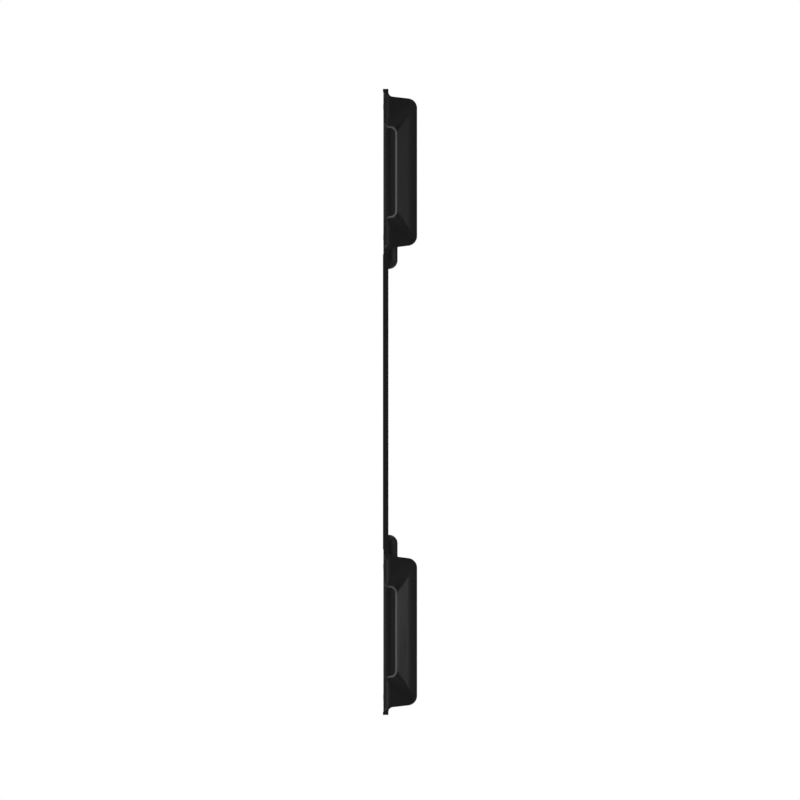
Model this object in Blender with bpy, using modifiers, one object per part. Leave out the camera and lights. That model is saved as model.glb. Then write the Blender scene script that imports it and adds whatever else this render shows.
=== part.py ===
"""Kick plate with two hollow grip boxes, about 610 x 203 x 33 mm.

Frame: the plate stands on end. +Z runs along its length, +Y across its width,
+X is the depth, from the flat back plane at x = 0 out to the faces of the boxes.
The origin is the middle of the centre plate's back face.

One flat centre plate is lapped onto the step at the inner end of each of two
one-piece moulded boxes.  Each box is a shell, open at the back through a
returned rim, with a finger scoop in its -Y wall and a ramp leading into it.
Countersunk screws go through the centre plate into inserts in the steps.
"""

import math

import bmesh
import bpy
from mathutils import Matrix, Vector

MM = 0.001

# ---------------------------------------------------------------- dimensions
WIDTH = 203.0           # across the plate
DEPTH = 33.3            # back plane to the face of a box
SHEET = 5.4             # centre plate and end lips
WALL = 4.5              # shell of the boxes
GAP = 0.3               # between pieces that touch

RIM_SET = 0.4           # the box's rim lies this far inside the back plane
LIP_Z = 302.0           # where the end lip starts
END = 305.0             # end of the lip
FLANGE_Z = 143.7        # inner end of the box's base flange
PLATE_Z = FLANGE_Z - GAP

OUT_WALL_BASE = 297.97  # outer end wall at the sheet, and at the face
OUT_WALL_FACE = 294.7
IN_WALL_BASE = 149.7    # inner end wall at the sheet, and at the face
IN_WALL_FACE = 153.2
FACE_R = 9.5            # rounding between end walls and face
LIP_FILLET = 4.5
FLANGE_FILLET = 3.5
ROLL_R = 8.1            # rolled edge between side walls and back rim

BOX_MID = 223.95        # middle of a box along Z
RETURN = 6.0            # width of the returned rim inside the walls
MOUTH_R = 9.0           # corners of the mouth in the back

ROLL_END_IN = 151.0     # the rolled edge stops here, and the rest is square
ROLL_END_OUT = 299.5

SCOOP_X = 12.1          # depth of the finger scoop
SCOOP_HALF_Z = 42.8     # half its length
SCOOP_LIP_R = 7.0       # corners at the back rim
SCOOP_FLOOR_R = 4.6     # corners at its floor

RAMP_FOOT_X = 28.8      # where the ramp leaves the side wall
RAMP_LEAN = 30.0        # degrees
CHEEK_APEX_Z = 60.0     # half length of the ramp at its foot
CHEEK_SLOPE = 0.65      # how the cheeks' outer edges close in along X
CHEEK_RATIO = 1.73      # cheek steepness against the ramp's

STEP_TOP = 14.3         # face of the lapped step
STEP_END = 129.4
STEP_R = 8.55
STEP_INSET = 10.0       # the step is narrower than the plate, each side
STEP_CORNER_R = 9.0

JOINT_Y = (-75.0, -25.0, 25.0, 75.0)
JOINT_Z = 136.0
INSERT_R, INSERT_LEN = 2.9, 5.9
SCREW_R, SCREW_HEAD_R, SCREW_LEN = 1.75, 3.8, 10.6

HOLE_R, SINK_R = 2.3, 4.6                    # mounting holes
PLATE_HOLES_Y = 90.0
PLATE_HOLES_Z = (-112.0, -37.5, 37.5, 112.0)
BOSS_Y, BOSS_Z, BOSS_R = 84.0, 59.6, 6.0     # screw bosses, from the box's middle

# ------------------------------------------------------------------ clear out
for old in list(bpy.data.objects):
    bpy.data.objects.remove(old, do_unlink=True)


def collection(name):
    found = bpy.data.collections.get(name)
    if found is None:
        found = bpy.data.collections.new(name)
        bpy.context.scene.collection.children.link(found)
    return found


PARTS = collection("kick_plate")
CUTTERS = collection("kick_plate_cutters")


# -------------------------------------------------------------------- helpers
def material(name, colour, roughness, metallic=0.0):
    mat = bpy.data.materials.new(name)
    mat.use_nodes = True
    shader = mat.node_tree.nodes["Principled BSDF"]
    shader.inputs["Base Color"].default_value = (*colour, 1.0)
    shader.inputs["Roughness"].default_value = roughness
    shader.inputs["Metallic"].default_value = metallic
    mat.diffuse_color = (*colour, 1.0)
    return mat


def place(obj, cutter=False):
    (CUTTERS if cutter else PARTS).objects.link(obj)
    if cutter:
        obj.hide_render = True
        obj.display_type = "WIRE"
    return obj


def rounded(corners, steps=8):
    """Outline through (a, b, radius) corners, each rounded with an arc."""
    out = []
    n = len(corners)
    for i, (a, b, r) in enumerate(corners):
        p = Vector((a, b))
        if r <= 0:
            out.append((a, b))
            continue
        u = (Vector(corners[i - 1][:2]) - p).normalized()
        v = (Vector(corners[(i + 1) % n][:2]) - p).normalized()
        half = u.angle(v) / 2
        centre = p + (u + v).normalized() * (r / math.sin(half))
        start = p + u * (r / math.tan(half)) - centre
        end = p + v * (r / math.tan(half)) - centre
        sweep = math.atan2(start.x * end.y - start.y * end.x, start.dot(end))
        for k in range(steps + 1):
            c, s = math.cos(sweep * k / steps), math.sin(sweep * k / steps)
            q = centre + Vector((start.x * c - start.y * s, start.x * s + start.y * c))
            out.append((q.x, q.y))
    return out


# each plane's matrix takes the outline's (a, b) and the extrusion to the frame
PLANES = {
    "XZ": Matrix(((1, 0, 0), (0, 0, -1), (0, 1, 0))),
    "YZ": Matrix(((0, 0, 1), (1, 0, 0), (0, 1, 0))),
    "XY": Matrix(((1, 0, 0), (0, 1, 0), (0, 0, 1))),
}


def prism(name, outline, plane, lo, hi, cutter=False):
    """A flat outline, in mm, pulled from lo to hi across its plane."""
    curve = bpy.data.curves.new(name, "CURVE")
    curve.dimensions = "2D"
    curve.fill_mode = "BOTH"
    curve.extrude = (hi - lo) / 2 * MM
    spline = curve.splines.new("POLY")
    spline.points.add(len(outline) - 1)
    for point, (a, b) in zip(spline.points, outline):
        point.co = (a * MM, b * MM, 0.0, 1.0)
    spline.use_cyclic_u = True
    guide = bpy.data.objects.new(name + "_outline", curve)
    CUTTERS.objects.link(guide)
    turn = PLANES[plane].to_4x4()
    middle = {"XZ": (0, (lo + hi) / 2, 0), "YZ": ((lo + hi) / 2, 0, 0), "XY": (0, 0, (lo + hi) / 2)}[plane]
    guide.matrix_world = Matrix.Translation(Vector(middle) * MM) @ turn
    bpy.context.view_layer.update()
    mesh = bpy.data.meshes.new_from_object(guide.evaluated_get(bpy.context.evaluated_depsgraph_get()))
    mesh.transform(guide.matrix_world)
    bpy.data.objects.remove(guide)
    bm = bmesh.new()
    bm.from_mesh(mesh)
    bmesh.ops.remove_doubles(bm, verts=bm.verts, dist=1e-6)
    bmesh.ops.recalc_face_normals(bm, faces=bm.faces)
    bm.to_mesh(mesh)
    bm.free()
    mesh.name = name
    return place(bpy.data.objects.new(name, mesh), cutter)


def cylinder(name, radius, lo, hi, y, z, cutter=False, top=None, sides=32):
    """A round bar along X from lo to hi; top is the radius at hi."""
    bm = bmesh.new()
    bmesh.ops.create_cone(bm, cap_ends=True, segments=sides, radius1=radius * MM,
                          radius2=(radius if top is None else top) * MM, depth=(hi - lo) * MM)
    mesh = bpy.data.meshes.new(name)
    bm.to_mesh(mesh)
    bm.free()
    mesh.transform(Matrix.Translation(Vector(((lo + hi) / 2, y, z)) * MM) @ PLANES["YZ"].to_4x4())
    return place(bpy.data.objects.new(name, mesh), cutter)


def hull(name, points, cutter=True):
    """The convex body through a set of points in mm."""
    bm = bmesh.new()
    for p in points:
        bm.verts.new(Vector(p) * MM)
    bmesh.ops.convex_hull(bm, input=bm.verts)
    bmesh.ops.dissolve_limit(bm, angle_limit=0.001, verts=bm.verts, edges=bm.edges)
    bmesh.ops.recalc_face_normals(bm, faces=bm.faces)
    mesh = bpy.data.meshes.new(name)
    bm.to_mesh(mesh)
    bm.free()
    return place(bpy.data.objects.new(name, mesh), cutter)


def boolean(obj, other, operation):
    mod = obj.modifiers.new(operation.lower() + "_" + other.name, "BOOLEAN")
    mod.operation = operation
    mod.object = other
    mod.solver = "EXACT"
    return obj


def turned(name, profile, y, z, steps=32, bore=False):
    """A body turned about a line along X from (x, r) points.

    The profile runs down its outer side; a bored one is closed by coming back
    up its inner side.
    """
    mesh = bpy.data.meshes.new(name)
    pts = [(r * MM, 0.0, -x * MM) for x, r in profile]
    edges = [(i, i + 1) for i in range(len(pts) - 1)]
    if bore:
        edges.append((len(pts) - 1, 0))
    mesh.from_pydata(pts, edges, [])
    obj = bpy.data.objects.new(name, mesh)
    screw = obj.modifiers.new("turn", "SCREW")
    screw.axis = "Z"
    screw.angle = math.tau
    screw.steps = steps
    screw.render_steps = steps
    screw.use_merge_vertices = True
    screw.merge_threshold = 1e-6
    # the turning line, local -Z, is laid along +X
    obj.matrix_world = Matrix.Translation(Vector((0, y, z)) * MM) @ Matrix(((0, 0, -1), (0, 1, 0), (1, 0, 0))).to_4x4()
    return obj


def solid(name, piece):
    """A turned piece made a plain mesh, standing where it was turned."""
    CUTTERS.objects.link(piece)
    bpy.context.view_layer.update()
    mesh = bpy.data.meshes.new_from_object(piece.evaluated_get(bpy.context.evaluated_depsgraph_get()))
    bm = bmesh.new()
    bm.from_mesh(mesh)
    bmesh.ops.remove_doubles(bm, verts=bm.verts, dist=1e-6)
    bmesh.ops.recalc_face_normals(bm, faces=bm.faces)
    bm.to_mesh(mesh)
    bm.free()
    mesh.name = name
    obj = bpy.data.objects.new(name, mesh)
    obj.matrix_world = piece.matrix_world.copy()
    bpy.data.objects.remove(piece)
    return place(obj)


def finish(obj, mat, angle=32.0):
    """Gives a finished piece its material and its smooth shading."""
    mesh = obj.data
    mesh.materials.clear()
    mesh.materials.append(mat)
    mesh.shade_smooth()
    mesh.set_sharp_from_angle(angle=math.radians(angle))
    return obj


def mirrored(points, side):
    return [(p[0], p[1] * side, *p[2:]) for p in points]


# ------------------------------------------------------------------ grip boxes
def ramp_body(name, side, offset):
    """The wedge the ramp and its two cheeks bound, pushed in by offset."""
    lean = math.tan(math.radians(RAMP_LEAN))
    cheek = lean * CHEEK_RATIO
    lift_ramp = offset * math.sqrt(1 + lean ** 2)
    lift_cheek = offset * math.sqrt(1 + cheek ** 2)
    root = math.sqrt(1 + CHEEK_SLOPE ** 2)

    def edge(x, depth):
        """Half length of the wedge at x, where it is depth deep."""
        outer = CHEEK_APEX_Z - (RAMP_FOOT_X - x) * CHEEK_SLOPE
        return outer - (depth - lift_cheek) / cheek * root

    near = -WIDTH / 2
    base = -4.0
    points = []
    for x in (-2.0, RAMP_FOOT_X + lift_ramp / lean - base / lean):
        depth = (RAMP_FOOT_X - x) * lean + lift_ramp
        for d in {round(base, 6), round(max(depth, base), 6)}:
            half = max(edge(x, d), 0.0)
            for s in (-1, 1):
                points.append((x, near + d, side * (BOX_MID + s * half)))
    return hull(name, points)


def grip_box(name, side, mat):
    """One moulded box; side is 1 for the upper and -1 for the lower."""
    y0, y1 = -WIDTH / 2, WIDTH / 2

    # the shell's outer form, as it shows from the side
    outer = mirrored([
        (RIM_SET, FLANGE_Z, 0), (RIM_SET, LIP_Z, 0), (0.0, LIP_Z, 0), (0.0, END, 0),
        (SHEET, END, 0), (SHEET, OUT_WALL_BASE, LIP_FILLET),
        (DEPTH, OUT_WALL_FACE, FACE_R), (DEPTH, IN_WALL_FACE, FACE_R),
        (SHEET, IN_WALL_BASE, FLANGE_FILLET), (SHEET, FLANGE_Z, 0)], side)
    box = prism(name, rounded(outer), "XZ", y0, y1)

    # rolled edges along both sides, stopping short of the square end lip and flange
    roll = rounded([(RIM_SET - 0.02, y0 - 0.01, ROLL_R), (DEPTH + 2, y0 - 0.01, 0),
                    (DEPTH + 2, y1 + 0.01, 0), (RIM_SET - 0.02, y1 + 0.01, ROLL_R)])
    z_lo, z_hi = sorted((side * ROLL_END_IN, side * ROLL_END_OUT))
    rolled = prism(name + "_rolled", roll, "XY", z_lo, z_hi, True)
    for end, a, b in (("lip", ROLL_END_OUT - 0.001, END + 2), ("flange", FLANGE_Z - 2, ROLL_END_IN + 0.001)):
        z_lo, z_hi = sorted((side * a, side * b))
        room = prism(f"{name}_{end}_room", [(-2, y0 - 2), (DEPTH + 4, y0 - 2), (DEPTH + 4, y1 + 2), (-2, y1 + 2)],
                     "XY", z_lo, z_hi, True)
        boolean(rolled, room, "UNION")
    boolean(box, rolled, "INTERSECT")

    # the ramp, cut into the -Y wall
    boolean(box, ramp_body(name + "_ramp", side, 0.0), "DIFFERENCE")

    # the hollow: follows the shell one wall thickness inside it
    draft_out = (OUT_WALL_BASE - OUT_WALL_FACE) / (DEPTH - SHEET)
    draft_in = (IN_WALL_FACE - IN_WALL_BASE) / (DEPTH - SHEET)
    floor, back = DEPTH - WALL, RIM_SET + WALL
    hollow = mirrored([
        (back, IN_WALL_BASE + (back - SHEET) * draft_in + WALL, 1.5),
        (back, OUT_WALL_BASE - (back - SHEET) * draft_out - WALL, 1.5),
        (floor, OUT_WALL_BASE - (floor - SHEET) * draft_out - WALL, FACE_R - WALL),
        (floor, IN_WALL_BASE + (floor - SHEET) * draft_in + WALL, FACE_R - WALL)], side)
    cavity = prism(name + "_hollow", rounded(hollow, 6), "XZ", y0 + WALL, y1 - WALL, True)
    boolean(cavity, ramp_body(name + "_ramp_wall", side, WALL), "DIFFERENCE")
    boolean(box, cavity, "DIFFERENCE")

    # its mouth in the back, inside the returned rim
    m0 = IN_WALL_BASE + WALL + RETURN
    m1 = OUT_WALL_BASE - WALL - RETURN
    my = WIDTH / 2 - WALL - RETURN
    mouth = rounded([(-my, side * m0, MOUTH_R), (my, side * m0, MOUTH_R),
                     (my, side * m1, MOUTH_R), (-my, side * m1, MOUTH_R)])
    boolean(box, prism(name + "_mouth", mouth, "YZ", -2.0, back + 2.0, True), "DIFFERENCE")

    # the finger scoop through the rim of the -Y wall
    mid = side * BOX_MID
    scoop = rounded([
        (-3.0, mid - 62, 0), (RIM_SET - 0.02, mid - 62, 0),
        (RIM_SET - 0.02, mid - SCOOP_HALF_Z, SCOOP_LIP_R), (SCOOP_X, mid - SCOOP_HALF_Z, SCOOP_FLOOR_R),
        (SCOOP_X, mid + SCOOP_HALF_Z, SCOOP_FLOOR_R), (RIM_SET - 0.02, mid + SCOOP_HALF_Z, SCOOP_LIP_R),
        (RIM_SET - 0.02, mid + 62, 0), (-3.0, mid + 62, 0)])
    boolean(box, prism(name + "_scoop", scoop, "XZ", y0 - 3, y0 + 27, True), "DIFFERENCE")

    # the step that the centre plate is lapped on, its outer edges all rounded alike
    sy, inner = WIDTH / 2 - STEP_INSET, IN_WALL_BASE + 3.0
    points = [(3.0, y, z) for y in (-sy, sy) for z in (STEP_END + STEP_CORNER_R, inner)]
    for x, inset in [(3.0, 0.0)] + [(STEP_TOP - STEP_R + STEP_R * math.sin(k * math.pi / 16), STEP_R * (1 - math.cos(k * math.pi / 16)))
                                    for k in range(9)]:
        r = STEP_CORNER_R - inset
        for s in (-1, 1):
            points.append((x, s * (sy - inset), inner))
            for k in range(9):
                a = k * math.pi / 16
                points.append((x, s * (sy - STEP_CORNER_R + r * math.cos(a)), STEP_END + STEP_CORNER_R - r * math.sin(a)))
    lug = hull(name + "_step", [(x, y, side * z) for x, y, z in points])
    z_lo, z_hi = sorted((side * (STEP_END - 2), side * (FLANGE_Z + 0.2)))
    lap = prism(name + "_lap", [(-1.0, z_lo), (SHEET + GAP, z_lo), (SHEET + GAP, z_hi), (-1.0, z_hi)], "XZ", y0, y1, True)
    boolean(lug, lap, "DIFFERENCE")
    boolean(box, lug, "UNION")

    # bosses for the mounting screws, from the face back to the rim
    for i, (sy_, sz) in enumerate(((-1, -1), (-1, 1), (1, -1), (1, 1))):
        y, z = sy_ * BOSS_Y, side * (BOX_MID + sz * BOSS_Z)
        boolean(box, cylinder(f"{name}_boss_{i}", BOSS_R, RIM_SET + 0.1, floor + 1.0, y, z, True), "UNION")
        boolean(box, cylinder(f"{name}_boss_hole_{i}", HOLE_R, -2.0, DEPTH + 2.0, y, z, True, sides=24), "DIFFERENCE")
        boolean(box, cylinder(f"{name}_boss_sink_{i}", HOLE_R, DEPTH - (SINK_R - HOLE_R), DEPTH + 1.0, y, z, True,
                              top=SINK_R + 1.0, sides=24), "DIFFERENCE")

    # blind holes for the inserts
    for i, y in enumerate(JOINT_Y):
        boolean(box, cylinder(f"{name}_insert_hole_{i}", INSERT_R + GAP, SHEET - 1.0, SHEET + GAP + INSERT_LEN + GAP,
                              y, side * JOINT_Z, True, sides=28), "DIFFERENCE")

    bpy.context.view_layer.update()
    mesh = bpy.data.meshes.new_from_object(box.evaluated_get(bpy.context.evaluated_depsgraph_get()))
    box.modifiers.clear()
    box.data = mesh
    mesh.name = name
    bm = bmesh.new()
    bm.from_mesh(mesh)
    bmesh.ops.remove_doubles(bm, verts=bm.verts, dist=2e-6)
    bmesh.ops.dissolve_degenerate(bm, dist=1e-6, edges=bm.edges)
    bm.to_mesh(mesh)
    bm.free()
    return finish(box, mat)


# ---------------------------------------------------------------- the pieces
black_plate = material("plate_black", (0.012, 0.012, 0.013), 0.45)
black_upper = material("upper_box_black", (0.010, 0.010, 0.011), 0.38)
black_lower = material("lower_box_black", (0.010, 0.010, 0.011), 0.38)
screw_black = material("screw_black_zinc", (0.03, 0.03, 0.032), 0.35, 1.0)
screw_black_2 = material("screw_black_zinc_lower", (0.03, 0.03, 0.032), 0.35, 1.0)
brass = material("insert_brass", (0.62, 0.45, 0.20), 0.35, 1.0)
brass_2 = material("insert_brass_lower", (0.62, 0.45, 0.20), 0.35, 1.0)

plate = prism("centre_plate", [(-WIDTH / 2, -PLATE_Z), (WIDTH / 2, -PLATE_Z), (WIDTH / 2, PLATE_Z), (-WIDTH / 2, PLATE_Z)],
              "YZ", 0.0, SHEET)
for i, z in enumerate(PLATE_HOLES_Z):
    for j, y in enumerate((-PLATE_HOLES_Y, PLATE_HOLES_Y)):
        boolean(plate, cylinder(f"plate_hole_{i}_{j}", HOLE_R, -1.0, SHEET + 1.0, y, z, True, sides=24), "DIFFERENCE")
        boolean(plate, cylinder(f"plate_sink_{i}_{j}", HOLE_R, SHEET - (SINK_R - HOLE_R), SHEET + 1.0, y, z, True,
                                top=SINK_R + 1.0, sides=24), "DIFFERENCE")
for s, tag in ((1, "u"), (-1, "l")):
    for i, y in enumerate(JOINT_Y):
        boolean(plate, cylinder(f"joint_hole_{tag}_{i}", SCREW_R + GAP, -1.0, SHEET + 1.0, y, s * JOINT_Z, True, sides=24), "DIFFERENCE")
        sink = SCREW_HEAD_R + GAP
        boolean(plate, cylinder(f"joint_sink_{tag}_{i}", sink + 1.0, -1.0, sink - SCREW_R - GAP, y, s * JOINT_Z, True,
                                top=SCREW_R + GAP, sides=24), "DIFFERENCE")
finish(plate, black_plate)

upper = grip_box("upper_grip_box", 1, black_upper)
lower = grip_box("lower_grip_box", -1, black_lower)

for s, tag, metal, yellow in ((1, "upper", screw_black, brass), (-1, "lower", screw_black_2, brass_2)):
    tip = SCREW_LEN
    cone = SCREW_HEAD_R - SCREW_R
    for i, y in enumerate(JOINT_Y, 1):
        # countersunk screw, its head flush with the back
        screw = turned(f"{tag}_screw_turning_{i}", [
            (0.12, 0.0), (0.12, SCREW_HEAD_R - 0.15), (0.30, SCREW_HEAD_R), (0.30 + cone, SCREW_R),
            (tip - 0.7, SCREW_R), (tip, SCREW_R - 0.6), (tip, 0.0)][::-1], y, s * JOINT_Z, 24)
        finish(solid(f"{tag}_joint_screw_{i}", screw), metal)
        # knurled insert, seated in the step
        x0, x1, r = SHEET + GAP + 0.1, SHEET + GAP + INSERT_LEN, INSERT_R
        insert = turned(f"{tag}_insert_turning_{i}", [
            (x1, SCREW_R + GAP), (x1, r - 0.4), (x1 - 0.4, r), (x1 - 2.2, r), (x1 - 2.5, r - 0.35),
            (x0 + 2.5, r - 0.35), (x0 + 2.2, r), (x0, r), (x0, SCREW_R + GAP)], y, s * JOINT_Z, 24, True)
        finish(solid(f"{tag}_threaded_insert_{i}", insert), yellow)
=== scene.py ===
"""Looks for the kick plate: fine smooth shells, detailed fasteners, materials, light and camera.

All lengths below are millimetres in the row's frame unless said otherwise: +Z along
the plate, +Y across it, +X from the flat back plane out to the faces of the boxes.
"""

import math

import bmesh
import bpy
import numpy as np
from mathutils import Matrix, Vector


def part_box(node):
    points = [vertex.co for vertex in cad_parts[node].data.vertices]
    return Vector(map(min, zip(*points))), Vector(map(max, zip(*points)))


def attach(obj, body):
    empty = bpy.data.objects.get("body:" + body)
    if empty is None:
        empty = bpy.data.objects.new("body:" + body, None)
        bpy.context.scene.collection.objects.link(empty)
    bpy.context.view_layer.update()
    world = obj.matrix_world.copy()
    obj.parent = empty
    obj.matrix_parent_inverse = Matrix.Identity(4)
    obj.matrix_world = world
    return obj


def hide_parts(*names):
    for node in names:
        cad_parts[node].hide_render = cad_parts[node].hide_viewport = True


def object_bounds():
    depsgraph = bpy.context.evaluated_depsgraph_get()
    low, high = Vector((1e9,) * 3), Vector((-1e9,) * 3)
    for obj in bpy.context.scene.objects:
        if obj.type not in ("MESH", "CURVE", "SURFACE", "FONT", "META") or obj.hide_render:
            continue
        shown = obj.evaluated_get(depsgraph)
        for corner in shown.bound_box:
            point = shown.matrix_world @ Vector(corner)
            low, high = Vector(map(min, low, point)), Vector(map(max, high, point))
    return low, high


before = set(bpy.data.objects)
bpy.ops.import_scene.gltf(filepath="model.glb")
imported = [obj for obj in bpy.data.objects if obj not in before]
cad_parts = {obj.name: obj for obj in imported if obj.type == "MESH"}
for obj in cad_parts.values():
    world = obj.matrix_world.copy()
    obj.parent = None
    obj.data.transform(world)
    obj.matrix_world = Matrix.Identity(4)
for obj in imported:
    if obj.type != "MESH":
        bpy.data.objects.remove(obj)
cad_lo, cad_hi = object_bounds()
MM = 0.001

# sizes come from the CAD frame where it states them
box_lo, box_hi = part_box("upper_grip_box")
plate_lo, plate_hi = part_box("centre_plate")
WIDTH = (plate_hi.y - plate_lo.y) / MM
SHEET = (plate_hi.x - plate_lo.x) / MM
DEPTH = box_hi.x / MM
END = box_hi.z / MM
STEP_END = box_lo.z / MM

WALL, RIM_SET, LIP_Z, FLANGE_Z = 4.5, 0.4, END - 3.0, 143.7
OUT_BASE, OUT_FACE, IN_BASE, IN_FACE = 297.97, 294.7, 149.7, 153.2
FACE_R, LIP_FILLET, FLANGE_FILLET, ROLL_R = 9.5, 4.5, 3.5, 8.1
MID, RETURN, MOUTH_R = 223.95, 6.0, 9.0
SCOOP_X, SCOOP_HALF, SCOOP_LIP_R, SCOOP_FLOOR_R = 12.1, 42.8, 7.0, 4.6
RAMP_X, LEAN, APEX, CHEEK_SLOPE, CHEEK_RATIO = 28.8, math.tan(math.radians(30.0)), 60.0, 0.65, 1.73
STEP_TOP, STEP_R, STEP_INSET, STEP_CORNER = 14.3, 8.55, 10.0, 9.0
JOINT_Y, JOINT_Z = (-75.0, -25.0, 25.0, 75.0), 136.0
HOLE_R, SINK_R = 2.3, 4.6
BOSS_Y, BOSS_Z, BOSS_R = 84.0, 59.6, 6.0
NEAR, FAR = -WIDTH / 2, WIDTH / 2


# ------------------------------------------------------------ distance fields
def rounded(corners, steps=14):
    """Outline through (a, b, radius) corners, each rounded with an arc."""
    out, n = [], len(corners)
    for i, (a, b, r) in enumerate(corners):
        p = Vector((a, b))
        if r <= 0:
            out.append((a, b))
            continue
        u = (Vector(corners[i - 1][:2]) - p).normalized()
        v = (Vector(corners[(i + 1) % n][:2]) - p).normalized()
        half = u.angle(v) / 2
        centre = p + (u + v).normalized() * (r / math.sin(half))
        start = p + u * (r / math.tan(half)) - centre
        end = p + v * (r / math.tan(half)) - centre
        sweep = math.atan2(start.x * end.y - start.y * end.x, start.dot(end))
        for k in range(steps + 1):
            c, s = math.cos(sweep * k / steps), math.sin(sweep * k / steps)
            q = centre + Vector((start.x * c - start.y * s, start.x * s + start.y * c))
            out.append((q.x, q.y))
    return np.array(out)


def flat(a, b, outline):
    """Signed distance from points (a, b) to a closed outline, negative inside."""
    a, b = np.broadcast_arrays(a, b)
    best = np.full(a.shape, 1e9)
    inside = np.zeros(a.shape, bool)
    for (x0, y0), (x1, y1) in zip(outline, np.roll(outline, -1, axis=0)):
        ex, ey = x1 - x0, y1 - y0
        wx, wy = a - x0, b - y0
        t = np.clip((wx * ex + wy * ey) / max(ex * ex + ey * ey, 1e-12), 0, 1)
        best = np.minimum(best, (wx - ex * t) ** 2 + (wy - ey * t) ** 2)
        if y0 != y1:
            cross = ((y0 > b) != (y1 > b)) & (a < (x1 - x0) * (b - y0) / (y1 - y0) + x0)
            inside ^= cross
    return np.where(inside, -1, 1) * np.sqrt(best)


def meet(a, b, r=0.0):
    """What two bodies share, its edge rounded to radius r."""
    if r <= 0:
        return np.maximum(a, b)
    return np.minimum(-r, np.maximum(a, b)) + np.hypot(np.maximum(a + r, 0), np.maximum(b + r, 0))


def join(a, b, r=0.0):
    """Two bodies as one, with a fillet of radius r."""
    if r <= 0:
        return np.minimum(a, b)
    return np.maximum(r, np.minimum(a, b)) - np.hypot(np.maximum(r - a, 0), np.maximum(r - b, 0))


def soft_min(a, b, r):
    h = np.clip(0.5 + 0.5 * (b - a) / r, 0, 1)
    return b * (1 - h) + a * h - r * h * (1 - h)


OUTER = rounded([(RIM_SET, FLANGE_Z, 0.1), (RIM_SET, LIP_Z + 1, 0), (SHEET, LIP_Z + 1, 0), (SHEET, OUT_BASE, LIP_FILLET),
                 (DEPTH, OUT_FACE, FACE_R), (DEPTH, IN_FACE, FACE_R), (SHEET, IN_BASE, FLANGE_FILLET), (SHEET, FLANGE_Z, 0.1)])
ROLLED = rounded([(RIM_SET, NEAR, ROLL_R), (DEPTH + 6, NEAR, 0), (DEPTH + 6, FAR, 0), (RIM_SET, FAR, ROLL_R)], 20)
d_out, d_in = (OUT_BASE - OUT_FACE) / (DEPTH - SHEET), (IN_FACE - IN_BASE) / (DEPTH - SHEET)
FLOOR, BACK = DEPTH - WALL, RIM_SET + WALL
HOLLOW = rounded([(BACK, IN_BASE + (BACK - SHEET) * d_in + WALL, 1.5), (BACK, OUT_BASE - (BACK - SHEET) * d_out - WALL, 1.5),
                  (FLOOR, OUT_BASE - (FLOOR - SHEET) * d_out - WALL, FACE_R - WALL),
                  (FLOOR, IN_BASE + (FLOOR - SHEET) * d_in + WALL, FACE_R - WALL)])
HOLLOW_ROLLED = rounded([(BACK, NEAR + WALL, ROLL_R - WALL), (FLOOR + 9, NEAR + WALL, 0), (FLOOR + 9, FAR - WALL, 0), (BACK, FAR - WALL, ROLL_R - WALL)])
M0, M1, MY = IN_BASE + WALL + RETURN, OUT_BASE - WALL - RETURN, WIDTH / 2 - WALL - RETURN
MOUTH = rounded([(-MY, M0, MOUTH_R), (MY, M0, MOUTH_R), (MY, M1, MOUTH_R), (-MY, M1, MOUTH_R)])
REACH = SCOOP_HALF + SCOOP_LIP_R + 0.8
SCOOP = rounded([(-20, MID - REACH, 0), (RIM_SET, MID - REACH, 0), (RIM_SET, MID - SCOOP_HALF, SCOOP_LIP_R),
                 (SCOOP_X, MID - SCOOP_HALF, SCOOP_FLOOR_R), (SCOOP_X, MID + SCOOP_HALF, SCOOP_FLOOR_R),
                 (RIM_SET, MID + SCOOP_HALF, SCOOP_LIP_R), (RIM_SET, MID + REACH, 0), (-20, MID + REACH, 0)])
SY = WIDTH / 2 - STEP_INSET
STEP_PLAN = rounded([(-SY, STEP_END, STEP_CORNER), (SY, STEP_END, STEP_CORNER), (SY, IN_BASE + 30, 0), (-SY, IN_BASE + 30, 0)], 24)


def ramp_planes(x, y, z, offset):
    """Signed distances to the ramp and its two cheeks, each below zero in the material behind it."""
    cheek = LEAN * CHEEK_RATIO
    root = math.sqrt(1 + CHEEK_SLOPE ** 2)
    outer = APEX - (RAMP_X - x) * CHEEK_SLOPE
    ramp = (NEAR + (RAMP_X - x) * LEAN - y) / math.sqrt(1 + LEAN ** 2) + offset
    return ramp, *[(NEAR + (outer - s * (z - MID)) / root * cheek - y) / math.sqrt(1 + cheek ** 2) + offset for s in (-1, 1)]


def hollow_field(x, y, z):
    hollow = meet(flat(x, z, HOLLOW), flat(x, y, HOLLOW_ROLLED), 2.0)
    ramp, up, down = ramp_planes(x, y, z, WALL)
    return meet(hollow, join(ramp, join(up, down, 2.0), 2.0), 1.5)


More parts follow.
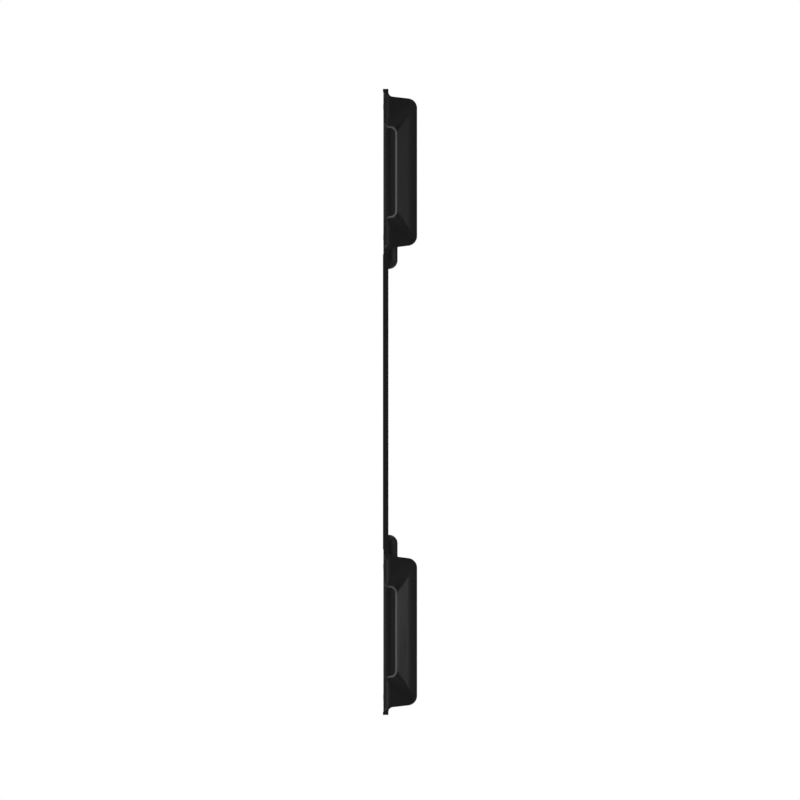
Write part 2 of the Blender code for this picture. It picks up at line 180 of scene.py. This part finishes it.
def grip_box(x, y, z):
    """The moulded box as a field: below zero is material."""
    square = np.maximum(np.abs(y) - WIDTH / 2, RIM_SET - x)
    roll = np.clip((z - 148.6) / 5.0, 0, 1) * np.clip((301.6 - z) / 4.2, 0, 1)
    sides = square + (flat(x, y, ROLLED) - square) * roll
    f = meet(flat(x, z, OUTER), sides, 0.05)
    f = np.maximum(f, z - LIP_Z)
    wall = NEAR - y
    ramp, up, down = ramp_planes(x, y, z, 0.0)
    dent = join(meet(wall, ramp, 3.0), join(meet(wall, up, 6.0), meet(wall, down, 6.0), 2.0), 1.4)
    f = np.maximum(f, dent)
    hollow = hollow_field(x, y, z)
    f = meet(f, -hollow, 0.8)
    mouth = np.maximum(flat(y, z, MOUTH), x - BACK - 3.0)
    f = meet(f, -mouth, 2.0)
    scoop = np.maximum(flat(x, z, SCOOP), y - NEAR - 27.0)
    f = meet(f, -scoop, 1.9)
    # the lapped step, its outer edges all rounded alike
    under = np.where(z < FLANGE_Z, SHEET - 0.1 - x, 3.0 - x)
    lug = meet(flat(y, z, STEP_PLAN), x - STEP_TOP, STEP_R)
    lug = np.maximum(lug, np.maximum(under, z - IN_BASE - 3.0))
    f = join(f, lug, 0.6)
    lip = np.maximum(np.maximum(-x, x - SHEET), np.maximum(LIP_Z - 0.05 - z, z - END))
    f = join(f, np.maximum(lip, np.abs(y) - WIDTH / 2), 0.0)
    for sy in (-1, 1):
        for sz in (-1, 1):
            rho = np.hypot(y - sy * BOSS_Y, z - MID - sz * BOSS_Z)
            boss = np.maximum(np.maximum(rho - BOSS_R, x - FLOOR - 1.0), RIM_SET + 0.1 - x)
            f = join(f, boss, 0.8)
            hole = np.minimum(rho - HOLE_R, (rho - HOLE_R - (x - DEPTH + SINK_R - HOLE_R)) / math.sqrt(2))
            f = meet(f, -hole, 0.25)
    for jy in JOINT_Y:
        rho = np.hypot(y - jy, z - JOINT_Z)
        f = np.maximum(f, -np.maximum(rho - 3.2, x - 12.0))
    return f


def painted_light_masks(x, y, z):
    """Masks, both 0 to 1: a painted highlight along the edge of the finger scoop, and painted light on the inside of
    the hollow and round its mouth.
    """
    scoop = flat(x, z, SCOOP)
    ramp, up, down = ramp_planes(x, y, z, 0.0)
    dent = np.maximum(NEAR - y, np.minimum(ramp, np.minimum(up, down)))
    # painted highlight: a thin band along the rim of the finger scoop
    edge = np.clip(1.5 - np.hypot(scoop - 0.55, dent + 0.55) / 1.1, 0, 1)
    # painted light: lighter colour on the inside of the hollow near its walls, and round the mouth
    hollow_light_mask = np.clip(1.3 - np.abs(hollow_field(x, y, z)) / 1.5, 0, 1)
    hollow_light_mask = np.maximum(hollow_light_mask, np.where(x < BACK + 1.0, np.clip(1.3 - np.abs(flat(y, z, MOUTH)) / 1.5, 0, 1), 0.0))
    return edge, hollow_light_mask


# ------------------------------------------------------- meshing of the fields
def lines(*spans):
    """Grid lines through (start, end, spacing) spans, end to end."""
    out = []
    for a, b, h in spans:
        n = max(1, round((b - a) / h))
        out += [a + (b - a) * i / n for i in range(n)]
    return np.array(out + [spans[-1][1]])


pts_of = {}


def field_mesh(name, f, xs, ys, zs, flip_z=False, steps=3):
    """A closed quad mesh on the zero of f, one point per crossed grid cell, with the field's own normals."""
    v = f(xs[:, None, None], ys[None, :, None], zs[None, None, :])
    v = np.ascontiguousarray(np.broadcast_to(v, (len(xs), len(ys), len(zs))))
    v = np.where(v == 0, 1e-9, v)
    inside = v < 0
    shape = tuple(n - 1 for n in v.shape)
    count = np.zeros(shape)
    total = np.zeros(shape + (3,))
    axes = (xs, ys, zs)
    for axis in range(3):
        others = [a for a in range(3) if a != axis]
        lo = [slice(None)] * 3
        hi = [slice(None)] * 3
        lo[axis], hi[axis] = slice(0, -1), slice(1, None)
        v0, v1 = v[tuple(lo)], v[tuple(hi)]
        cross = (v0 < 0) != (v1 < 0)
        with np.errstate(divide="ignore", invalid="ignore"):
            t = np.where(cross, v0 / (v0 - v1), 0.0)
        c = axes[axis]
        step = (c[1:] - c[:-1]).reshape([-1 if a == axis else 1 for a in range(3)])
        base = c[:-1].reshape([-1 if a == axis else 1 for a in range(3)])
        place = np.zeros(v0.shape + (3,))
        place[..., axis] = base + t * step
        for o in others:
            place[..., o] = axes[o].reshape([-1 if a == o else 1 for a in range(3)])
        place *= cross[..., None]
        for i in (0, 1):
            for j in (0, 1):
                cut = [slice(None)] * 3
                cut[others[0]] = slice(i, v.shape[others[0]] - 1 + i)
                cut[others[1]] = slice(j, v.shape[others[1]] - 1 + j)
                count += cross[tuple(cut)]
                total += place[tuple(cut)]
    active = count > 0
    index = np.full(shape, -1, int)
    index[active] = np.arange(active.sum())
    pts = total[active] / count[active][:, None]
    cell = np.argwhere(active)
    lo = np.stack([axes[a][cell[:, a]] for a in range(3)], 1)
    hi = np.stack([axes[a][cell[:, a] + 1] for a in range(3)], 1)
    faces = []
    for axis in range(3):
        u, w = [(1, 2), (2, 0), (0, 1)][axis]
        lo_s = [slice(None)] * 3
        hi_s = [slice(None)] * 3
        lo_s[axis], hi_s[axis] = slice(0, -1), slice(1, None)
        a, b = inside[tuple(lo_s)], inside[tuple(hi_s)]
        where = np.argwhere(a != b)
        out = a[tuple(where.T)]
        ok = (where[:, u] > 0) & (where[:, w] > 0) & (where[:, u] < v.shape[u] - 1) & (where[:, w] < v.shape[w] - 1)
        where, out = where[ok], out[ok]
        corner = []
        for du, dw in ((-1, -1), (0, -1), (0, 0), (-1, 0)):
            q = where.copy()
            q[:, u] += du
            q[:, w] += dw
            corner.append(index[tuple(q.T)])
        quad = np.stack(corner, 1)
        quad[~out] = quad[~out][:, ::-1]
        faces.append(quad)
    faces = np.concatenate(faces)

    def at(p):
        return f(p[:, 0], p[:, 1], p[:, 2])

    def slope(p, e):
        g = np.stack([(at(p + d) - at(p - d)) / (2 * e) for d in np.eye(3) * e], 1)
        return g

    room = 0.25 * (hi - lo)
    for _ in range(steps):
        g = slope(pts, 0.02)
        n2 = np.maximum((g ** 2).sum(1), 0.15)
        pts = pts - (at(pts) / n2)[:, None] * g
        pts = np.clip(pts, lo - room, hi + room)
    g = slope(pts, 0.05)
    normals = g / np.maximum(np.linalg.norm(g, axis=1), 1e-6)[:, None]
    if flip_z:
        pts[:, 2] *= -1
        normals[:, 2] *= -1
        faces = faces[:, ::-1]
    pts_of[name] = pts
    mesh = bpy.data.meshes.new(name)
    mesh.from_pydata((pts * MM).tolist(), [], faces.tolist())
    mesh.validate()
    mesh.shade_smooth()
    # smooth where the surface is, crisp where a facet lies across an edge
    n_loops = len(mesh.loops)
    at_loop = np.empty(n_loops, np.int32)
    mesh.loops.foreach_get("vertex_index", at_loop)
    flat_n = np.empty(len(mesh.polygons) * 3)
    mesh.polygons.foreach_get("normal", flat_n)
    flat_n = flat_n.reshape(-1, 3)
    totals = np.empty(len(mesh.polygons), np.int32)
    mesh.polygons.foreach_get("loop_total", totals)
    face_n = np.repeat(flat_n, totals, axis=0)
    loop_n = normals[at_loop]
    sharp = (loop_n * face_n).sum(1) < 0.90
    loop_n[sharp] = face_n[sharp]
    mesh.normals_split_custom_set(loop_n.tolist())
    obj = bpy.data.objects.new(name, mesh)
    bpy.context.scene.collection.objects.link(obj)
    return obj


def crisp(grid, *planes):
    """Adds close pairs of grid lines either side of flat faces, so that their edges stay sharp."""
    extra = [p + d for p in planes for d in (-0.02, 0.02, -0.2, 0.2)]
    keep = [g for g in grid if all(abs(g - e) > 0.09 for e in extra)]
    return np.array(sorted(set(round(v, 5) for v in keep + extra)))


fine = 0.55
box_x = crisp(lines((-1.6, 8.0, fine), (8.0, 26.0, fine * 1.35), (26.0, DEPTH + 1.4, fine)), 0.0, RIM_SET, SHEET, STEP_TOP, DEPTH)
box_y = crisp(lines((NEAR - 1.6, -76.0, fine * 1.2), (-76.0, 77.0, 4.5), (77.0, FAR - 10.5, fine * 1.5), (FAR - 10.5, FAR + 1.6, fine * 1.2)), NEAR, FAR, -SY, SY)
box_z = crisp(lines((STEP_END - 1.6, 172.0, fine * 1.15), (172.0, 192.0, fine * 1.5), (192.0, 256.0, 3.2), (256.0, 277.0, fine * 1.5), (277.0, END + 1.6, fine * 1.15)), STEP_END, FLANGE_Z, LIP_Z, END)


# ------------------------------------------------------------------- materials
def nodes_of(name):
    mat = bpy.data.materials.new(name)
    mat.use_nodes = True
    tree = mat.node_tree
    return mat, tree, tree.nodes["Principled BSDF"]


def black_plastic(name, base, rough, grain, rough_spread=0.06, bump=0.10, edge=0.0, painted_rim_highlight=0.0, painted_hollow_light=0.0):
    """Moulded black plastic: fine spark texture, faint flow mottling, wipe marks, a painted highlight along the scoop
    edge and painted light (lighter colour and a faint glow) inside the hollow.
    """
    mat, tree, shader = nodes_of(name)
    N, L = tree.nodes, tree.links
    coord = N.new("ShaderNodeTexCoord")
    fine_noise = N.new("ShaderNodeTexNoise")
    fine_noise.inputs["Scale"].default_value = grain
    fine_noise.inputs["Detail"].default_value = 3.0
    L.new(coord.outputs["Object"], fine_noise.inputs["Vector"])
    broad = N.new("ShaderNodeTexNoise")
    broad.inputs["Scale"].default_value = 9.0
    broad.inputs["Detail"].default_value = 4.0
    broad.inputs["Distortion"].default_value = 0.4
    L.new(coord.outputs["Object"], broad.inputs["Vector"])
    tone = N.new("ShaderNodeValToRGB")
    tone.color_ramp.elements[0].position = 0.3
    tone.color_ramp.elements[1].position = 0.7
    tone.color_ramp.elements[0].color = (*[c * 0.88 for c in base], 1)
    tone.color_ramp.elements[1].color = (*[c * 1.12 for c in base], 1)
    L.new(broad.outputs["Fac"], tone.inputs["Fac"])
    # painted highlight: pointy edges, in patches, take the base colour plus edge; at edge 0, as both materials below
    # use, they only lose the mottling
    geom = N.new("ShaderNodeNewGeometry")
    edge_highlight_ramp = N.new("ShaderNodeValToRGB")
    edge_highlight_ramp.color_ramp.elements[0].position = 0.52
    edge_highlight_ramp.color_ramp.elements[1].position = 0.64
    L.new(geom.outputs["Pointiness"], edge_highlight_ramp.inputs["Fac"])
    patch = N.new("ShaderNodeMath")
    patch.operation = "MULTIPLY"
    L.new(edge_highlight_ramp.outputs["Color"], patch.inputs[0])
    L.new(broad.outputs["Fac"], patch.inputs[1])
    mix = N.new("ShaderNodeMix")
    mix.data_type = "RGBA"
    L.new(patch.outputs[0], mix.inputs["Factor"])
    L.new(tone.outputs["Color"], mix.inputs["A"])
    mix.inputs["B"].default_value = (*[c + edge for c in base], 1)
    last = mix.outputs["Result"]
    # painted highlight on the scoop rim and painted light in the hollow: the base colour is lifted where each mask is
    # set
    for label, more in (("painted_rim_highlight", painted_rim_highlight), ("painted_hollow_light", painted_hollow_light)):
        if more:
            painted_light_attr = N.new("ShaderNodeAttribute")
            painted_light_attr.attribute_name = label
            add = N.new("ShaderNodeMix")
            add.data_type = "RGBA"
            L.new(painted_light_attr.outputs["Fac"], add.inputs["Factor"])
            L.new(last, add.inputs["A"])
            add.inputs["B"].default_value = (more, more, more * 1.02, 1)
            last = add.outputs["Result"]
    L.new(last, shader.inputs["Base Color"])
    # roughness: mottling and fine wipe marks
    streak_map = N.new("ShaderNodeMapping")
    streak_map.inputs["Scale"].default_value = (60, 60, 4)
    L.new(coord.outputs["Object"], streak_map.inputs["Vector"])
    streak = N.new("ShaderNodeTexNoise")
    streak.inputs["Scale"].default_value = 3.0
    streak.inputs["Detail"].default_value = 6.0
    L.new(streak_map.outputs["Vector"], streak.inputs["Vector"])
    spread = N.new("ShaderNodeMapRange")
    spread.inputs["From Min"].default_value = 0.3
    spread.inputs["From Max"].default_value = 0.7
    spread.inputs["To Min"].default_value = rough - rough_spread
    spread.inputs["To Max"].default_value = rough + rough_spread
    L.new(streak.outputs["Fac"], spread.inputs["Value"])
    L.new(spread.outputs["Result"], shader.inputs["Roughness"])
    if painted_hollow_light:
        # painted light: the inside of the hollow glows faintly, standing in for light that gets in by many bounces
        glow = N.new("ShaderNodeMath")
        glow.operation = "MULTIPLY"
        L.new(painted_light_attr.outputs["Fac"], glow.inputs[0])
        glow.inputs[1].default_value = 0.0095
        L.new(glow.outputs[0], shader.inputs["Emission Strength"])
        shader.inputs["Emission Color"].default_value = (1, 1, 1, 1)
    relief = N.new("ShaderNodeBump")
    relief.inputs["Strength"].default_value = bump
    relief.inputs["Distance"].default_value = 0.0001
    L.new(fine_noise.outputs["Fac"], relief.inputs["Height"])
    L.new(relief.outputs["Normal"], shader.inputs["Normal"])
    shader.inputs["IOR"].default_value = 1.46
    return mat


def metal(name, base, rough, brushed=(300, 300, 300), bump=0.15):
    mat, tree, shader = nodes_of(name)
    N, L = tree.nodes, tree.links
    coord = N.new("ShaderNodeTexCoord")
    m = N.new("ShaderNodeMapping")
    m.inputs["Scale"].default_value = brushed
    L.new(coord.outputs["Object"], m.inputs["Vector"])
    n = N.new("ShaderNodeTexNoise")
    n.inputs["Scale"].default_value = 4.0
    n.inputs["Detail"].default_value = 4.0
    L.new(m.outputs["Vector"], n.inputs["Vector"])
    tone = N.new("ShaderNodeValToRGB")
    tone.color_ramp.elements[0].color = (*[c * 0.75 for c in base], 1)
    tone.color_ramp.elements[1].color = (*[min(1, c * 1.2) for c in base], 1)
    L.new(n.outputs["Fac"], tone.inputs["Fac"])
    L.new(tone.outputs["Color"], shader.inputs["Base Color"])
    r = N.new("ShaderNodeMapRange")
    r.inputs["To Min"].default_value = rough - 0.08
    r.inputs["To Max"].default_value = rough + 0.1
    L.new(n.outputs["Fac"], r.inputs["Value"])
    L.new(r.outputs["Result"], shader.inputs["Roughness"])
    b = N.new("ShaderNodeBump")
    b.inputs["Strength"].default_value = bump
    b.inputs["Distance"].default_value = 0.00005
    L.new(n.outputs["Fac"], b.inputs["Height"])
    L.new(b.outputs["Normal"], shader.inputs["Normal"])
    shader.inputs["Metallic"].default_value = 1.0
    return mat


# the box colour carries a painted highlight on the scoop rim and painted light in the hollow
box_black = black_plastic("box_black_satin", (0.0070, 0.0070, 0.0072), 0.38, 1500.0, painted_rim_highlight=0.24, painted_hollow_light=0.014)
sheet_black = black_plastic("sheet_black_satin", (0.0072, 0.0072, 0.0074), 0.42, 1100.0, bump=0.14)
zinc_black = metal("screw_black_zinc", (0.06, 0.06, 0.063), 0.34)
brass = metal("insert_brass", (0.72, 0.50, 0.22), 0.30)


def dress(obj, mat):
    obj.data.materials.clear()
    obj.data.materials.append(mat)
    return obj


# ------------------------------------------------------------------ the boxes
for tag, low in (("upper", False), ("lower", True)):
    shell = field_mesh(f"{tag}_grip_box_shell", grip_box, box_x, box_y, box_z, flip_z=low)
    pts = pts_of[shell.name]
    if len(shell.data.vertices) == len(pts):
        # masks for the painted rim highlight and the painted hollow light, kept as mesh attributes
        edge, hollow_light_mask = painted_light_masks(pts[:, 0], pts[:, 1], np.abs(pts[:, 2]))
        for label, amount in (("painted_rim_highlight", edge), ("painted_hollow_light", hollow_light_mask)):
            shell.data.attributes.new(label, "FLOAT", "POINT").data.foreach_set("value", amount.astype(np.float32))
    dress(shell, box_black)
    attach(shell, "root")
    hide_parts(f"{tag}_grip_box")


# -------------------------------------------------------------- centre plate
ph = plate_hi.z / MM + 0.35


def centre_plate(x, y, z):
    slab = np.maximum(np.maximum(np.abs(x - SHEET / 2) - SHEET / 2, np.abs(y) - WIDTH / 2), np.abs(z) - ph)
    for hz in (-112.0, -37.5, 37.5, 112.0):
        for hy in (-90.0, 90.0):
            rho = np.hypot(y - hy, z - hz)
            hole = np.minimum(rho - HOLE_R, (rho - HOLE_R - (x - SHEET + SINK_R - HOLE_R)) / math.sqrt(2))
            slab = meet(slab, -hole, 0.15)
    for s in (-1, 1):
        for hy in JOINT_Y:
            rho = np.hypot(y - hy, z - s * JOINT_Z)
            hole = np.minimum(rho - 2.05, (rho - 4.1 + x) / math.sqrt(2))
            slab = meet(slab, -hole, 0.15)
    return slab


def around(centres, reach, lo, hi, close, wide):
    """Grid lines from lo to hi, close together within reach of each centre."""
    spans, at = [], lo
    for c in sorted(centres):
        a, b = max(c - reach, lo), min(c + reach, hi)
        if a > at:
            spans.append((at, a, wide))
        spans.append((max(a, at), b, close))
        at = b
    if at < hi:
        spans.append((at, hi, wide))
    return lines(*spans)


close = 0.5
plate_x = crisp(lines((-0.6, SHEET + 0.6, 0.33)), 0.0, SHEET)
plate_y = crisp(around((-90.0, *JOINT_Y, 90.0), 5.4, NEAR - 0.6, FAR + 0.6, close, 5.0), NEAR, FAR)
plate_z = crisp(around((-JOINT_Z, -112.0, -37.5, 37.5, 112.0, JOINT_Z), 5.4, -ph - 0.6, ph + 0.6, close, 6.0), -ph, ph)
plate = field_mesh("centre_plate_sheet", centre_plate, plate_x, plate_y, plate_z)
dress(plate, sheet_black)
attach(plate, "root")
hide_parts("centre_plate")


# ------------------------------------------------------------------ fasteners
def screw_field(cy, cz):
    def f(x, y, z):
        py, pz = y - cy, z - cz
        rho = np.hypot(py, pz)
        head = np.maximum(rho - np.clip(3.8 - (x - 0.30), 1.75, 3.8), 0.12 - x) / 1.2
        shank = np.maximum(rho - 1.75, x - 10.6)
        body = np.maximum(np.maximum(head, x - 10.6), rho + x - 10.6 - 1.3)
        pitch = 0.7
        turn = np.arctan2(pz, py) / (2 * math.pi)
        tooth = np.abs(((x / pitch + turn) % 1.0) - 0.5) * 2
        groove = 1.75 - 0.36 * tooth
        threaded = np.maximum(body, np.where(x > 3.6, (rho - groove) / 1.4, -9.0))
        hexagon = np.maximum.reduce([np.abs(py * math.cos(a) + pz * math.sin(a)) - 1.25 for a in (0.0, math.pi / 3, 2 * math.pi / 3)])
        socket = np.maximum(hexagon, x - 1.7)
        return np.maximum(threaded, -socket)
    return f


def insert_field(cy, cz):
    def f(x, y, z):
        py, pz = y - cy, z - cz
        rho = np.hypot(py, pz)
        angle = np.arctan2(pz, py)
        knurl = 2.9 - 0.14 * np.abs(np.sin(angle * 14))
        band = np.abs(np.abs(x - 8.75) - 1.6) - 1.05
        outer = np.where(band < 0, rho - knurl, rho - 2.55)
        body = np.maximum(np.maximum(outer, 5.8 - x), x - 11.6)
        body = np.maximum(body, rho + x - 11.6 - 2.5)
        return np.maximum(body, 2.05 - rho)
    return f


screw_h = 0.16
for tag, s in (("upper", 1), ("lower", -1)):
    for i, jy in enumerate(JOINT_Y, 1):
        cz = s * JOINT_Z
        sx = lines((-0.3, 2.2, screw_h), (2.2, 11.0, screw_h * 1.1))
        sy = lines((jy - 4.2, jy + 4.2, screw_h * 1.3))
        sz = lines((cz - 4.2, cz + 4.2, screw_h * 1.3))
        screw = field_mesh(f"{tag}_joint_screw_{i}_detail", screw_field(jy, cz), sx, sy, sz, steps=1)
        dress(screw, zinc_black)
        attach(screw, "root")
        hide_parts(f"{tag}_joint_screw_{i}")
        for_insert = lines((5.4, 12.0, screw_h * 1.4))
        iy = lines((jy - 3.3, jy + 3.3, screw_h * 1.2))
        iz = lines((cz - 3.3, cz + 3.3, screw_h * 1.2))
        insert = field_mesh(f"{tag}_threaded_insert_{i}_detail", insert_field(jy, cz), for_insert, iy, iz, steps=1)
        dress(insert, brass)
        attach(insert, "root")
        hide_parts(f"{tag}_threaded_insert_{i}")


# ---------------------------------------------------------------------- stage
def stage_material(name, colour, rough):
    mat, tree, shader = nodes_of(name)
    shader.inputs["Base Color"].default_value = (*colour, 1)
    shader.inputs["Roughness"].default_value = rough
    return mat


me = bpy.data.meshes.new("floor")
bm = bmesh.new()
bmesh.ops.create_grid(bm, x_segments=4, y_segments=4, size=4.0)
bm.to_mesh(me)
bm.free()
floor = bpy.data.objects.new("floor", me)
floor.location = (0, 0, cad_lo.z - 0.0006)
bpy.context.scene.collection.objects.link(floor)
dress(floor, stage_material("floor_pale", (0.86, 0.86, 0.86), 0.7))

scene = bpy.context.scene
world = bpy.data.worlds.new("studio")
scene.world = world
world.use_nodes = True
wt = world.node_tree
wt.nodes.clear()
out = wt.nodes.new("ShaderNodeOutputWorld")
path = wt.nodes.new("ShaderNodeLightPath")
seen = wt.nodes.new("ShaderNodeBackground")
seen.inputs["Color"].default_value = (1, 1, 1, 1)
seen.inputs["Strength"].default_value = 1.0
soft = wt.nodes.new("ShaderNodeBackground")
soft.inputs["Strength"].default_value = 1.0
geo = wt.nodes.new("ShaderNodeTexCoord")
sep = wt.nodes.new("ShaderNodeSeparateXYZ")
wt.links.new(geo.outputs["Generated"], sep.inputs["Vector"])
# the room is dim, a little brighter above and below the plate and to its sides
def world_math(op, a, b=None, c=None):
    node = wt.nodes.new("ShaderNodeMath")
    node.operation = op
    for i, v in enumerate((a, b, c)):
        if v is None:
            continue
        if isinstance(v, (int, float)):
            node.inputs[i].default_value = v
        else:
            wt.links.new(v, node.inputs[i])
    return node.outputs[0]


def ramp_up(value, start, stop, low, high):
    node = wt.nodes.new("ShaderNodeMapRange")
    node.interpolation_type = "SMOOTHSTEP"
    for key, v in (("From Min", start), ("From Max", stop), ("To Min", low), ("To Max", high)):
        node.inputs[key].default_value = v
    wt.links.new(value, node.inputs["Value"])
    return node.outputs["Result"]


front = world_math("ADD", ramp_up(sep.outputs["Y"], -1.0, -0.45, 0.20, 0.12), ramp_up(sep.outputs["Y"], -0.3, 0.5, 0.0, -0.07))
ends = ramp_up(world_math("ABSOLUTE", sep.outputs["Z"]), 0.50, 1.0, 0.0, 0.42)
right = ramp_up(sep.outputs["X"], 0.60, 0.95, 0.0, 0.16)
left = ramp_up(world_math("MULTIPLY", sep.outputs["X"], -1.0), 0.30, 0.90, 0.0, 0.12)
level = world_math("ADD", world_math("ADD", front, ends), world_math("ADD", right, left))
tint = wt.nodes.new("ShaderNodeCombineColor")
for channel in ("Red", "Green", "Blue"):
    wt.links.new(level, tint.inputs[channel])
wt.links.new(tint.outputs["Color"], soft.inputs["Color"])
pick = wt.nodes.new("ShaderNodeMixShader")
wt.links.new(path.outputs["Is Camera Ray"], pick.inputs["Fac"])
wt.links.new(soft.outputs[0], pick.inputs[1])
wt.links.new(seen.outputs[0], pick.inputs[2])
wt.links.new(pick.outputs[0], out.inputs["Surface"])


def soft_box(name, place, target, size, power):
    light = bpy.data.lights.new(name, "AREA")
    light.shape = "RECTANGLE"
    light.size, light.size_y = size
    light.energy = power
    obj = bpy.data.objects.new(name, light)
    obj.location = place
    obj.rotation_euler = (Vector(place) - Vector(target)).to_track_quat("Z", "Y").to_euler()
    scene.collection.objects.link(obj)
    return obj


soft_box("key_upper_left", (-1.5, -1.0, 1.6), (0, 0, 0), (1.1, 1.1), 6.0)
soft_box("left_low", (-1.60, -1.00, -0.40), (0, 0, -0.1), (0.8, 0.8), 4.8)
soft_box("fill_right", (1.9, -0.7, 0.5), (0, 0, 0), (1.2, 1.2), 2.6)

scene.view_settings.view_transform = "Standard"
scene.view_settings.look = "None"

cam_data = bpy.data.cameras.new("camera")
cam_data.type = "ORTHO"
MM_PER_PX = (cad_hi.z - cad_lo.z) / 626.1
cam_data.ortho_scale = MM_PER_PX * 800
cam_data.clip_start, cam_data.clip_end = 0.01, 50
cam = bpy.data.objects.new("camera", cam_data)
cam.location = ((cad_lo.x + cad_hi.x) / 2, -3.0, MM_PER_PX * 1.9)
cam.rotation_euler = (math.radians(90), 0, 0)
scene.collection.objects.link(cam)
scene.camera = cam
